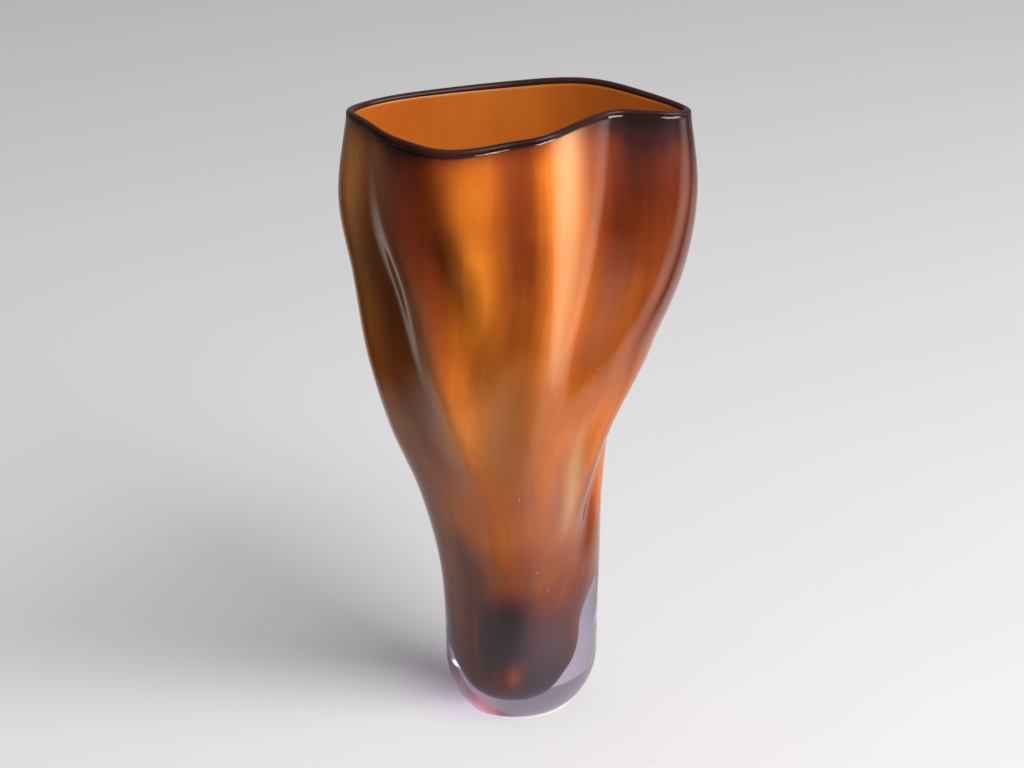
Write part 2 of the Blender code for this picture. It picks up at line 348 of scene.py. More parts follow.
def add_field(piece, name, values):
    """Stores one number for each point, for the material to read."""
    attribute = piece.data.attributes.new(name, "FLOAT", "POINT")
    attribute.data.foreach_set("value", np.asarray(values, np.float32).ravel())


def add_flow(piece, levels):
    """Stores where each point lies on a plain cylinder, so that streaks can follow the pull of
    the glass: the angle round it and the level up it."""
    level, angle = np.broadcast_arrays(levels, ANGLES)
    spots = np.stack([FLOW_RADIUS * np.cos(angle), FLOW_RADIUS * np.sin(angle), level], axis=-1)
    spots = np.concatenate([spots.reshape(-1, 3), [spots[0].mean(axis=0), spots[-1].mean(axis=0)]])
    attribute = piece.data.attributes.new("flow", "FLOAT_VECTOR", "POINT")
    attribute.data.foreach_set("vector", spots.astype(np.float32).ravel())


def finish_piece(piece, material, replaced=None):
    piece.data.materials.append(material)
    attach(piece, BODY)
    if replaced:
        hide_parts(replaced)
    return piece


# ---------------------------------------------------------------- material helpers
def new_material(name):
    material = bpy.data.materials.new(name)
    material.use_nodes = True
    tree = material.node_tree
    return material, tree, tree.nodes["Principled BSDF"]


def add_node(tree, kind, **settings):
    node = tree.nodes.new(kind)
    for key, value in settings.items():
        setattr(node, key, value)
    return node


def mix_colours(tree, share, first, second):
    """A mix of two colours. Each input is a socket or a plain value."""
    node = add_node(tree, "ShaderNodeMix", data_type="RGBA", clamp_factor=True)
    inputs = ((node.inputs["Factor"], share), (node.inputs[6], first), (node.inputs[7], second))
    for socket, value in inputs:
        if isinstance(value, bpy.types.NodeSocket):
            tree.links.new(value, socket)
        else:
            socket.default_value = (*value, 1)
    return node.outputs[2]


def maths(tree, operation, *values):
    node = add_node(tree, "ShaderNodeMath", operation=operation)
    for socket, value in zip(node.inputs, values):
        if isinstance(value, bpy.types.NodeSocket):
            tree.links.new(value, socket)
        else:
            socket.default_value = value
    return node.outputs[0]


def stretch(tree, value, gain, base):
    """A value times a gain, plus a base."""
    return maths(tree, "MULTIPLY_ADD", value, gain, base)


def field(tree, name):
    return add_node(tree, "ShaderNodeAttribute", attribute_name=name).outputs["Fac"]


def pulled_noise(tree, scale, pull, detail=4.0, flow=True):
    """Noise drawn out up the vase, as glass is when it is pulled, on the flow of the piece or
    on its Object coordinates."""
    if flow:
        place = add_node(tree, "ShaderNodeAttribute", attribute_name="flow").outputs["Vector"]
    else:
        place = add_node(tree, "ShaderNodeTexCoord").outputs["Object"]
    mapping = add_node(tree, "ShaderNodeMapping")
    mapping.inputs["Scale"].default_value = (1, 1, pull)
    noise = add_node(tree, "ShaderNodeTexNoise")
    noise.inputs["Scale"].default_value = scale
    noise.inputs["Detail"].default_value = detail
    tree.links.new(place, mapping.inputs["Vector"])
    tree.links.new(mapping.outputs[0], noise.inputs["Vector"])
    return noise.outputs["Fac"]


def add_bump(tree, shader, height, strength, distance):
    bump = add_node(tree, "ShaderNodeBump")
    bump.inputs["Strength"].default_value = strength
    bump.inputs["Distance"].default_value = distance
    tree.links.new(height, bump.inputs["Height"])
    tree.links.new(bump.outputs[0], shader.inputs["Normal"])


def ramp(tree, factor, stops):
    node = add_node(tree, "ShaderNodeValToRGB")
    elements = node.color_ramp.elements
    while len(elements) < len(stops):
        elements.new(0.5)
    for element, (place, colour) in zip(elements, stops):
        element.position = place
        element.color = (*colour, 1)
    tree.links.new(factor, node.inputs[0])
    return node.outputs[0]


# ---------------------------------------------------------------- depth of colour
VEIL_DEPTH = 0.26                          # of the even veil, where 1 is the deepest violet
POOL_DEPTH = 0.40                          # what the pool adds to it
POOL_TOP, POOL_FULL = 0.30, 0.04           # shares of the height where it starts and is full
BLUSH_DROP = 0.018                         # how soon the blush under the lip dies away
BLUSH_ANGLE, BLUSH_SPREAD = 328, math.degrees(math.sqrt(0.3))
SMOKE_TOP, SMOKE_FULL = 0.26, 0.12         # smoke on the right of the pool
SMOKE_ANGLE = 315

# Amount, lowest and highest share, crest's angle at each end, spread in mm at each end.
# Deeper violet darkens the amber and less lightens it. Most rows are the glass's own colour; the rows marked
# painted are painted shade, glow and light.
VIOLET_AND_PAINTED_LIGHT_DRIFTS = (
    (0.42, 0.56, 1.40, 246, 228, 7, 15),    # painted shade in the left valley
    (-0.12, 0.56, 1.00, 260, 253, 8, 9),    # painted glow beside it, where light shines through the wall
    (-0.26, 0.60, 0.90, 256, 254, 6, 6),    # and the brightest painted glow in one spot
    (0.20, 0.62, 1.20, 274, 268, 10, 9),    # front, between thin glass and ridge
    (-0.16, 0.52, 1.30, 286, 283, 9, 12),   # lighter along the centre ridge, under its painted highlight
    (0.50, 0.68, 1.50, 306, 316, 12, 26),   # right hand side of the bowl
    (0.40, 0.52, 1.25, 330, 350, 14, 24),   # and round its side
    (-0.20, 0.44, 0.66, 264, 262, 14, 14),  # painted light over the belly
    (0.12, 0.42, 0.62, 238, 222, 5, 6),     # painted shade in the crease left of the belly
    (-0.16, 0.52, 1.30, 212, 204, 12, 12),  # painted light on the left side
    (0.26, 0.05, 0.38, 232, 232, 12, 12),   # left of the stem
    (0.26, 0.20, 0.50, 332, 332, 12, 12),   # right of the stem
    (0.16, 0.40, 1.40, 100, 130, 60, 60),   # back of the bowl
    (0.60, 0.06, 0.24, 262, 266, 15, 16),   # heart of the pool
    (-0.24, 0.06, 0.26, 228, 234, 4, 5),    # amber left at the pool's left edge
    (-0.34, 0.03, 0.12, 276, 276, 9, 9),    # and under its heart
)
BLOOM_DRIFTS = (
    (0.50, 0.18, 0.50, 284, 292, 24, 24),   # mauve bloom down the front of the stem
    (0.70, 0.24, 0.50, 312, 306, 8, 10),    # right of the stem
    (0.60, 0.60, 0.84, 304, 308, 7, 9),     # haze in the right dent
    (0.30, 0.10, 0.60, 60, 120, 60, 60),    # back of the stem
)
# Painted highlights: pale streaks laid where the ridges, the belly and the left side catch the light.
PAINTED_HIGHLIGHT_DRIFTS = (
    (0.60, 0.44, 1.50, 289, 286, 7, 6),     # along the centre ridge
    (0.40, 0.40, 0.68, 268, 270, 14, 15),   # over the belly
    (0.55, 0.36, 1.20, 256, 216, 6, 6),     # left ridge
    (0.55, 0.56, 1.30, 210, 204, 10, 12),    # left side
    (0.80, 0.30, 0.56, 304, 318, 4, 5),     # right ridge
)


def violet_and_painted_light_depth(level, angles):
    """How deep the violet glass lies over the amber, 0 to 1: a thin even veil, deeper in the
    pool at the bottom and just under the lip, with the drifts added; the drifts marked painted
    are painted shade, painted glow and painted light."""
    share = level / WALL_TOP
    pool = ease((POOL_TOP - share) / (POOL_TOP - POOL_FULL))
    blush = np.exp(-(1 - share) / BLUSH_DROP)
    blush = blush * (0.25 + 0.35 * round_bell(angles, BLUSH_ANGLE, BLUSH_SPREAD))
    drifts = bells(VIOLET_AND_PAINTED_LIGHT_DRIFTS, share, angles, local_radius(share, angles))
    return np.clip(VEIL_DEPTH + POOL_DEPTH * pool + blush + drifts, 0, 1)


def bloom_depth(level, angles):
    """How much milky mauve bloom lies in the violet, 0 to 1."""
    share = level / WALL_TOP
    return np.clip(bells(BLOOM_DRIFTS, share, angles, local_radius(share, angles)), 0, 1)


def painted_highlight_depth(level, angles):
    """How much painted highlight lies along the ridges, the belly and the left side, 0 to 1."""
    share = level / WALL_TOP
    return np.clip(bells(PAINTED_HIGHLIGHT_DRIFTS, share, angles, local_radius(share, angles)), 0, 1)


def smoke_depth(level, angles):
    """How much the bottom of the pool turns from violet to smoke grey, 0 to 1."""
    share = level / WALL_TOP
    side = 0.5 + 0.5 * np.cos(turn_between(angles, math.radians(SMOKE_ANGLE)))
    under = ease((0.075 - share) / 0.05)
    beside = ease((SMOKE_TOP - share) / (SMOKE_TOP - SMOKE_FULL)) * side**9
    return np.clip(0.8 * under + 0.8 * beside, 0, 1)


# The fields that the colour layer stores on its points: the violet field holds painted shade
# and light besides the glass's own colour, and the highlight field holds painted highlights.
DEPTHS = (("violet", violet_and_painted_light_depth), ("bloom", bloom_depth), ("cream_highlight", painted_highlight_depth), ("smoke", smoke_depth))


# ---------------------------------------------------------------- materials
def colour_layer_material(glass):
    """Satin lustre under the casing: amber seen through violet, bloom and smoke glass, with a pale painted
    highlight.

    The violet field, with noise added, picks the colour on a run from thin amber to the deepest
    violet; the thinnest end is paler thin amber and also a painted glow of light shining through
    the wall. Thin glass has the most lustre and the smoothest skin."""
    material, tree, shader = new_material("amethyst_over_amber")
    streaks = pulled_noise(tree, scale=55.0, pull=0.14, detail=4.0)
    fine = pulled_noise(tree, scale=420.0, pull=0.045, detail=3.0)
    cloud = pulled_noise(tree, scale=34.0, pull=0.7, detail=4.0)
    depth = maths(tree, "ADD", field(tree, "violet"), stretch(tree, streaks, 0.26, -0.13))
    depth = maths(tree, "ADD", depth, stretch(tree, fine, 0.10, -0.05))
    depth = maths(tree, "ADD", depth, stretch(tree, cloud, 0.24, -0.12))
    amber, deep = np.array(glass.amber), np.array(glass.amethyst)
    colour = ramp(tree, depth, (
        # thinnest amber, brightened: partly paler thin glass, partly a painted glow of light through the wall
        (0.00, tuple(amber * (1.50, 1.90, 1.90))),
        (0.24, tuple(amber)),
        (0.40, tuple(amber * (0.52, 0.38, 0.60))),
        (0.56, tuple(amber * (0.26, 0.16, 0.40))),
        (0.74, tuple(deep * (1.00, 0.90, 0.80))),
        (1.00, tuple(deep * (0.34, 0.50, 0.70))),
    ))
    bloom = maths(tree, "MULTIPLY", field(tree, "bloom"), stretch(tree, cloud, 1.2, 0.1))
    colour = mix_colours(tree, bloom, colour, tuple(glass.bloom))
    # Painted highlight: pale streaks mixed in along the ridges.
    painted_highlight = maths(tree, "MULTIPLY", field(tree, "cream_highlight"), stretch(tree, streaks, 1.6, 0.2))
    colour = mix_colours(tree, painted_highlight, colour, tuple(glass.cream_highlight))
    colour = mix_colours(tree, field(tree, "smoke"), colour, tuple(glass.smoke))
    tree.links.new(colour, shader.inputs["Base Color"])
    shader.inputs["IOR"].default_value = 1.14
    sheen = stretch(tree, depth, -0.48, 0.42)
    veiled = maths(tree, "MAXIMUM", stretch(tree, depth, 3.0, 0.1), 0.1)
    sheen = maths(tree, "MULTIPLY", sheen, maths(tree, "MINIMUM", veiled, 1.0))
    tree.links.new(maths(tree, "MAXIMUM", sheen, 0.04), shader.inputs["Metallic"])
    roughness = stretch(tree, depth, 0.26, 0.24)
    roughness = maths(tree, "ADD", roughness, stretch(tree, streaks, 0.20, -0.10))
    tree.links.new(roughness, shader.inputs["Roughness"])
    add_bump(tree, shader, fine, strength=0.25, distance=0.12 * MM)
    return material


def lining_material(glass):
    """Satin amber of the hollow, a little paler and rosier in pulled streaks."""
    material, tree, shader = new_material("amber_lining")
    streaks = pulled_noise(tree, scale=30.0, pull=0.25, detail=4.0)
    amber = np.array(glass.lining)
    colour = ramp(tree, streaks, (
        (0.25, tuple(amber * (0.86, 0.72, 0.60))),
        (0.50, tuple(amber)),
        (0.75, tuple(amber * (1.10, 1.24, 1.60))),
    ))
    tree.links.new(colour, shader.inputs["Base Color"])
    shader.inputs["Specular Tint"].default_value = (1.0, 0.80, 0.55, 1)
    tree.links.new(stretch(tree, streaks, 0.2, 0.32), shader.inputs["Roughness"])
    return material


def let_lamps_through(tree, shader, share):
    """Lets a share of the lamps' light pass the glass straight on."""
    output = next(node for node in tree.nodes if node.type == "OUTPUT_MATERIAL")
    path = add_node(tree, "ShaderNodeLightPath")
    clear = add_node(tree, "ShaderNodeBsdfTransparent")
    clear.inputs["Color"].default_value = (share, share, share, 1)
    mix = add_node(tree, "ShaderNodeMixShader")
    tree.links.new(path.outputs["Is Shadow Ray"], mix.inputs[0])
    tree.links.new(shader.outputs[0], mix.inputs[1])
    tree.links.new(clear.outputs[0], mix.inputs[2])
    tree.links.new(mix.outputs[0], output.inputs["Surface"])
    return output


def casing_material(glass):
    """Clear glass with a faint lilac tint that deepens with its thickness."""
    material, tree, shader = new_material("clear_lilac_glass")
    shader.inputs["Base Color"].default_value = (1, 1, 1, 1)
    shader.inputs["Transmission Weight"].default_value = 1.0
    shader.inputs["IOR"].default_value = 1.5
    shader.inputs["Roughness"].default_value = 0.07
    output = let_lamps_through(tree, shader, 0.92)
    absorb = add_node(tree, "ShaderNodeVolumeAbsorption")
    absorb.inputs["Color"].default_value = (*glass.tint, 1)
    absorb.inputs["Density"].default_value = glass.tint_density
    tree.links.new(absorb.outputs[0], output.inputs["Volume"])
    ripple = pulled_noise(tree, scale=22.0, pull=0.35, detail=2.0, flow=False)
    add_bump(tree, shader, ripple, strength=0.10, distance=1.0 * MM)
    return material


def ground_material(glass):
    """Finely ground face under the foot, with a painted glow: it emits light of its own in place of the light
    that the clear foot gathers on it.
    """
    material, tree, shader = new_material("ground_base")
    grain = pulled_noise(tree, scale=900.0, pull=1.0, detail=2.0, flow=False)
    pale = np.array(glass.ground)
    colour = ramp(tree, grain, ((0.3, tuple(pale * 0.94)), (0.7, tuple(pale))))
    tree.links.new(colour, shader.inputs["Base Color"])
    shader.inputs["Roughness"].default_value = 0.8
    # Painted glow: emitted light standing in for the light that the clear foot gathers.
    shader.inputs["Emission Color"].default_value = (0.86, 0.76, 0.82, 1)
    shader.inputs["Emission Strength"].default_value = glass.painted_foot_glow
    return material


def lip_material(glass):
    """Fire polished dark glass, a shade lighter where the thread was laid thin."""
    material, tree, shader = new_material("aubergine_lip")
    patches = pulled_noise(tree, scale=30.0, pull=1.0, detail=3.0, flow=False)
    lip = np.array(glass.lip)
    colour = ramp(tree, patches, ((0.35, tuple(lip * 0.6)), (0.7, tuple(lip * 1.7))))
    tree.links.new(colour, shader.inputs["Base Color"])
    shader.inputs["Roughness"].default_value = 0.32
    shader.inputs["IOR"].default_value = 1.32
    return material


def seed_material():
    """The silvery inside of a trapped bubble, warm from the glass round it."""
    material, tree, shader = new_material("seed_sheen")
    shade = pulled_noise(tree, scale=300.0, pull=1.0, detail=1.0, flow=False)
    colour = ramp(tree, shade, ((0.3, (0.72, 0.42, 0.26)), (0.7, (0.95, 0.72, 0.52))))
    tree.links.new(colour, shader.inputs["Base Color"])
    shader.inputs["Metallic"].default_value = 0.8
    shader.inputs["Roughness"].default_value = 0.18
    return material


# ---------------------------------------------------------------- pieces
def build_colour_layer(glass):
    """Violet overlay on the bubble: its outer face is the colour seen through the casing."""
    outer, outer_level = inner_grid(VEIL_BOTTOM, 0.0)
    inner, inner_level = inner_grid(BUBBLE_BOTTOM + FUSE, VEIL_WALL + FUSE)
    piece = gather_object("violet_overlay", outer, VEIL_BOTTOM, inner, BUBBLE_BOTTOM + FUSE)
    for name, depth in DEPTHS:
        values = np.concatenate([
            np.broadcast_to(depth(outer_level, ANGLES), outer.shape[:2]).ravel(),
            np.broadcast_to(depth(inner_level, ANGLES), inner.shape[:2])[::-1].ravel(),
            [depth(outer_level[:1], ANGLES).mean(), depth(inner_level[:1], ANGLES).mean()],
        ])
        add_field(piece, name, values)
    add_flow(piece, np.concatenate([outer_level, inner_level[::-1]]))
    return finish_piece(piece, colour_layer_material(glass), "amethyst_veil")


def build_lining(glass):
    """Amber bubble: its inner face is the hollow of the vase."""
    floor = BUBBLE_BOTTOM + HOLLOW_BASE
    outer, outer_level = inner_grid(BUBBLE_BOTTOM, VEIL_WALL)
    inner, inner_level = inner_grid(floor, VEIL_WALL + BUBBLE_WALL)
    piece = gather_object("amber_hollow", outer, BUBBLE_BOTTOM, inner, floor)
    add_flow(piece, np.concatenate([outer_level, inner_level[::-1]]))
    return finish_piece(piece, lining_material(glass), "amber_bubble")


def build_casing(glass):
    """Clear casing: real glass from the outer face to just inside the colour."""
    outer, _ = outer_grid()
    inner, _ = inner_grid(VEIL_BOTTOM + FUSE, FUSE)
    piece = gather_object("clear_gather", outer, 0.0, inner, VEIL_BOTTOM + FUSE)
    finish_piece(piece, casing_material(glass), "clear_casing")
    piece.data.materials.append(ground_material(glass))
    middles = np.empty(len(piece.data.polygons) * 3, np.float32)
    piece.data.polygons.foreach_get("center", middles)
    piece.data.polygons.foreach_set("material_index", (middles[2::3] < GROUND_HEIGHT).astype(np.int32))
    piece.data.update()
    return piece


def build_lip(glass):
    """Dark wrap: an oval section carried round the rim, its lower half sunk into the wall."""
    angles = np.arange(LIP_AROUND) * (2 * math.pi / LIP_AROUND)
    level = np.full(LIP_AROUND, WALL_TOP)
    x, y = outline(level, angles)
    in_x, in_y = inwards(level, angles)
    z = WALL_TOP + lip_wave(level, angles)
    middle = np.stack([x + in_x * WALL_STACK / 2, y + in_y * WALL_STACK / 2, z], axis=-1)
    across = np.stack([-in_x, -in_y, np.zeros(LIP_AROUND)], axis=-1)
    turns = np.arange(LIP_SIDES) * (2 * math.pi / LIP_SIDES)
    heavy = np.exp(-turn_between(angles, math.radians(232))**2 / 0.9)
    high = np.exp(-turn_between(angles, math.radians(80))**2 / 0.9)
    thick = 0.66 + 0.34 * np.maximum(heavy, high) + 0.03 * np.sin(7 * angles + 2.1)
    reach = WALL_STACK / 2 + 0.2 * MM * np.minimum(thick, 1)
    sunk = (1.1 + 1.3 * heavy) * MM
    rise = np.where(np.sin(turns)[:, None] > 0, LIP_TOP * np.minimum(thick, 1), sunk)
    sides = np.sign(np.cos(turns)) * np.abs(np.cos(turns)) ** 0.8
    points = middle + across * (sides[:, None] * reach)[..., None]
    points[..., 2] += rise * np.sin(turns)[:, None]
    piece = mesh_object("lip_thread", points.reshape(-1, 3), grid_faces(LIP_SIDES, LIP_AROUND, True))
    return finish_piece(piece, lip_material(glass), "lip_wrap")


# Share of the height, angle in degrees, and half length in mm of each seed.
SEEDS = (
    (0.405, 278, 1.3), (0.380, 279, 0.9), (0.268, 288, 1.5), (0.455, 262, 0.8), (0.350, 262, 0.9),
    (0.520, 255, 0.7), (0.310, 240, 0.8), (0.230, 300, 0.8), (0.480, 305, 0.8), (0.620, 310, 0.9),
    (0.430, 30, 1.2), (0.330, 80, 1.0), (0.560, 120, 1.1), (0.300, 150, 0.9), (0.640, 60, 0.8),
)


def build_seeds():
    """Trapped air: small drawn out ellipsoids that lie on the colour, under the casing."""
    share = np.array([row[0] for row in SEEDS])
    angles = np.radians([row[1] for row in SEEDS])
    length = np.array([row[2] for row in SEEDS]) * MM
    level = share * WALL_TOP
    x, y = outline(level, angles)
    in_x, in_y = inwards(level, angles)
    depth = CASING_WALL + (HEEL_WALL - CASING_WALL) * heel_share(level) - SEED_SINK
    lean = COLOUR_LEAN * heel_share(level)
    middle = np.stack([x + in_x * depth + lean, y + in_y * depth, level], axis=-1)
    rows, columns = 9, 12
    tilt = np.linspace(-math.pi / 2, math.pi / 2, rows + 2)[1:-1, None]
    turn = np.arange(columns) * (2 * math.pi / columns)
    round_x, round_y = np.cos(tilt) * np.cos(turn), np.cos(tilt) * np.sin(turn)
    ball = np.stack(np.broadcast_arrays(round_x, round_y, np.sin(tilt)), axis=-1)
    ball = np.concatenate([ball.reshape(-1, 3), [(0, 0, -1), (0, 0, 1)]])
    size = np.stack([length * 0.36, length * 0.36, length], axis=-1)
    points = middle[:, None, :] + ball[None] * size[:, None, :]
    first = np.arange(len(SEEDS))[:, None, None] * len(ball)
    quads = (grid_faces(rows, columns)[None] + first).reshape(-1, 4)
    fans = np.concatenate([fan_faces(0, columns, len(ball) - 2, True),
                           fan_faces((rows - 1) * columns, columns, len(ball) - 1, False)])
    triangles = (fans[None] + first).reshape(-1, 3)
    piece = mesh_object("air_seeds", points.reshape(-1, 3), quads, triangles)
    return finish_piece(piece, seed_material())


# ---------------------------------------------------------------- stage
FLOOR_COLOUR = (0.80, 0.80, 0.81)
FLOOR_SHINE = 0.05
FLOOR_RADII = (0.0001, 0.5, 1, 2, 4, 8)
FLOOR_DROP = 0.0002                        # the floor lies this far under the foot

KEY_TARGET = (0, 0, 0.15)
KEY_TURN, KEY_LIFT = math.radians(322), math.radians(45)
KEY_DISTANCE = 3.0
KEY_SIZE = (2.4, 1.6)
KEY_COLOUR = (1.0, 0.99, 0.97)

CARD_INNER, CARD_RADIUS = 0.20, 0.78       # the card lies on the floor between these
CARD_LOW, CARD_HIGH = 0.004, 0.62          # and then stands between these
CARD_FLOOR_GLOW = 0.82                     # strength of its lying part
CARD_SOFT = 0.2                            # height over which its ends fade
CARD_INNER_SOFT = 0.25                     # and how far out, where it lies
CARD_SIDE_SOFT = 0.85                      # share of its half width over which its sides fade
CARD_COLOUR = (1.0, 0.89, 0.72)

FLAG_INNER = 0.24                          # the flag starts this far out at the sides
FLAG_NEAR = 0.15                           # and this much nearer in front
FLAG_FRONT, FLAG_FRONT_SPREAD = 265, 34
FLAG_OUTER = 8.0
FLAG_START, FLAG_END = 150, 385
FLAG_SOFT, FLAG_SOFT_TURN = 0.16, 16       # metres and degrees over which its edges fade
FLAG_HEIGHT = 0.001
FLAG_COLOUR = (0.02, 0.018, 0.016)

ROOM_STOPS = (                             # by height, from the horizon to overhead
    (0.00, (0.10, 0.10, 0.10)),
    (0.20, (0.18, 0.18, 0.18)),
    (0.50, (0.60, 0.61, 0.62)),
    (1.00, (0.97, 0.98, 1.00)),
)
ROOM_BEHIND = (0.90, 0.91, 0.92)
ROOM_BACKDROP = (1.6, 1.61, 1.62)          # what the camera sees of the room

SECTOR_SPOKES = 97
AIM_SHIFT = Vector((-4.4 * MM, 4.6 * MM, 9.8 * MM))    # from over the foot, half way up


def floor_material():
    """Matt pale floor with a faint mottle."""
    material, tree, shader = new_material("pale_floor")
    shade = pulled_noise(tree, scale=3.0, pull=1.0, detail=2.0, flow=False)
    mottle = ramp(tree, shade, ((0.3, tuple(np.array(FLOOR_COLOUR) * 0.985)), (0.7, FLOOR_COLOUR)))
    tree.links.new(mottle, shader.inputs["Base Color"])
    shader.inputs["Roughness"].default_value = 1.0
    shader.inputs["Specular IOR Level"].default_value = FLOOR_SHINE
    return material


def ring_sector(name, radii, start, end, height):
    """Flat sector of a ring, facing up: radius times angle on a grid."""
    radius = np.asarray(radii, float)[:, None]
    turn = np.radians(np.linspace(start, end, SECTOR_SPOKES))[None, :]
    points = np.stack(np.broadcast_arrays(radius * np.cos(turn), radius * np.sin(turn), height), axis=-1)
    return mesh_object(name, points.reshape(-1, 3), open_grid_faces(*points.shape[:2]))


def add_area(name, place, target, size, power, colour):
    data = bpy.data.lights.new(name, "AREA")
    data.shape = "RECTANGLE"
    data.size, data.size_y = size
    data.energy = power
    data.color = colour
    lamp = bpy.data.objects.new(name, data)
    bpy.context.scene.collection.objects.link(lamp)
    lamp.location = place
    lamp.rotation_euler = (Vector(target) - Vector(place)).to_track_quat("-Z", "Y").to_euler()


def aim_camera(stage):
    """Camera in front of the vase, raised by the stage's angle, looking at its middle."""
    data = bpy.data.cameras.new("camera")
    data.lens = stage.lens
    camera = bpy.data.objects.new("camera", data)
    bpy.context.scene.collection.objects.link(camera)
    target = Vector((0, 0, (CAD_BOX[0].z + CAD_BOX[1].z) / 2)) + AIM_SHIFT
    back = Vector((0, -math.cos(stage.elevation), math.sin(stage.elevation)))
    camera.location = target + back * stage.distance
    camera.rotation_euler = (-back).to_track_quat("-Z", "Y").to_euler()
    bpy.context.scene.camera = camera


def glow_material(strength):
    """Light added by the card, brightest in its middle and fading to nothing at its edges."""
    material = bpy.data.materials.new("lit_card")
    material.use_nodes = True
    tree = material.node_tree
    tree.nodes.clear()
    output = add_node(tree, "ShaderNodeOutputMaterial")
    emit = add_node(tree, "ShaderNodeEmission")
    emit.inputs["Color"].default_value = (*CARD_COLOUR, 1)
    across = field(tree, "across")
    upward = field(tree, "upward")
    power = maths(tree, "MULTIPLY", maths(tree, "MULTIPLY", across, upward), strength)
    tree.links.new(power, emit.inputs["Strength"])
    clear = add_node(tree, "ShaderNodeBsdfTransparent")
    both = add_node(tree, "ShaderNodeAddShader")
    tree.links.new(emit.outputs[0], both.inputs[0])
    tree.links.new(clear.outputs[0], both.inputs[1])
    tree.links.new(both.outputs[0], output.inputs["Surface"])
    return material


def lit_card(stage):
    """Card on an arc round the vase, lying on the floor and then upright: angle times the run
    of its profile on a grid, with its fade stored on its points."""
    across = np.linspace(-1, 1, 33)[None, :]
    upward = np.linspace(0, 1, 17)[:, None]
    turn = stage.card_side + across * stage.card_half_width
    height = CARD_LOW + upward * (CARD_HIGH - CARD_LOW)
    lying = np.linspace(CARD_INNER, CARD_RADIUS, len(height))[:-1, None]
    radius = np.concatenate([lying, np.full_like(height, CARD_RADIUS)])
    height = np.concatenate([np.full_like(lying, CARD_LOW), height])
    spots = np.broadcast_arrays(radius * np.cos(turn), radius * np.sin(turn), height)
    points = np.stack(spots, axis=-1)
    card = mesh_object("lit_card", points.reshape(-1, 3), open_grid_faces(*points.shape[:2]))
    lying_glow = CARD_FLOOR_GLOW * ease((radius - CARD_INNER) / CARD_INNER_SOFT)
    standing_glow = (1 - CARD_FLOOR_GLOW) * ease((height - CARD_LOW) / CARD_SOFT)
    fade_across = ease((1 - np.abs(across)) / CARD_SIDE_SOFT) + 0 * radius
    fade_upward = (lying_glow + standing_glow) * ease((CARD_HIGH - height) / CARD_SOFT) + 0 * across
    add_field(card, "across", fade_across)
    add_field(card, "upward", fade_upward)
    card.data.materials.append(glow_material(stage.card_strength))
    card.visible_camera = False
    card.visible_diffuse = False
    card.visible_shadow = False


def dark_flag():
    """Dark cloth on the floor, all round but behind, which only the glass sees: it fades in over
    its edges."""
    radii = np.geomspace(FLAG_INNER - FLAG_NEAR, FLAG_OUTER, 80)
    flag = ring_sector("dark_flag", radii, FLAG_START, FLAG_END, FLAG_HEIGHT)
    turn = np.linspace(FLAG_START, FLAG_END, SECTOR_SPOKES)[None, :]
    inner = FLAG_INNER - FLAG_NEAR * np.exp(-((turn - FLAG_FRONT) / FLAG_FRONT_SPREAD) ** 2)
    sides = ease((turn - FLAG_START) / FLAG_SOFT_TURN) * ease((FLAG_END - turn) / FLAG_SOFT_TURN)
    add_field(flag, "fade", ease((radii[:, None] - inner) / FLAG_SOFT) * sides)
    material, tree, shader = new_material("dark_cloth")
    shader.inputs["Base Color"].default_value = (*FLAG_COLOUR, 1)
    shader.inputs["Roughness"].default_value = 0.9
    tree.links.new(field(tree, "fade"), shader.inputs["Alpha"])
    flag.data.materials.append(material)
    flag.visible_camera = False
    flag.visible_diffuse = False
    flag.visible_shadow = False


def room_world(stage):
    """Room light: pale overhead and behind, dark round the horizon in front, with an even pale
    backdrop."""
    world = bpy.data.worlds.new("room")
    world.use_nodes = True
    tree = world.node_tree
    background = tree.nodes["Background"]
    place = add_node(tree, "ShaderNodeTexCoord")
    split = add_node(tree, "ShaderNodeSeparateXYZ")
    tree.links.new(place.outputs["Generated"], split.inputs[0])
    shade = ramp(tree, split.outputs["Z"], ROOM_STOPS)
    behind = maths(tree, "MULTIPLY", split.outputs["Y"], 2.2)
    shade = mix_colours(tree, behind, shade, ROOM_BEHIND)
    seen = add_node(tree, "ShaderNodeLightPath").outputs["Is Camera Ray"]
    shade = mix_colours(tree, seen, shade, ROOM_BACKDROP)
    tree.links.new(shade, background.inputs["Color"])
    background.inputs["Strength"].default_value = stage.room_light
    bpy.context.scene.world = world


def build_stage(stage):
    floor = ring_sector("floor", FLOOR_RADII, 0, 360, -FLOOR_DROP)
    floor.data.materials.append(floor_material())
    dark_flag()
    lit_card(stage)
    reach = KEY_DISTANCE * math.cos(KEY_LIFT)
    key_place = (reach * math.cos(KEY_TURN), reach * math.sin(KEY_TURN),
                 KEY_TARGET[2] + KEY_DISTANCE * math.sin(KEY_LIFT))
    add_area("key", key_place, KEY_TARGET, KEY_SIZE, stage.key_power, KEY_COLOUR)
    room_world(stage)
    bpy.context.scene.view_settings.view_transform = "Standard"
    aim_camera(stage)


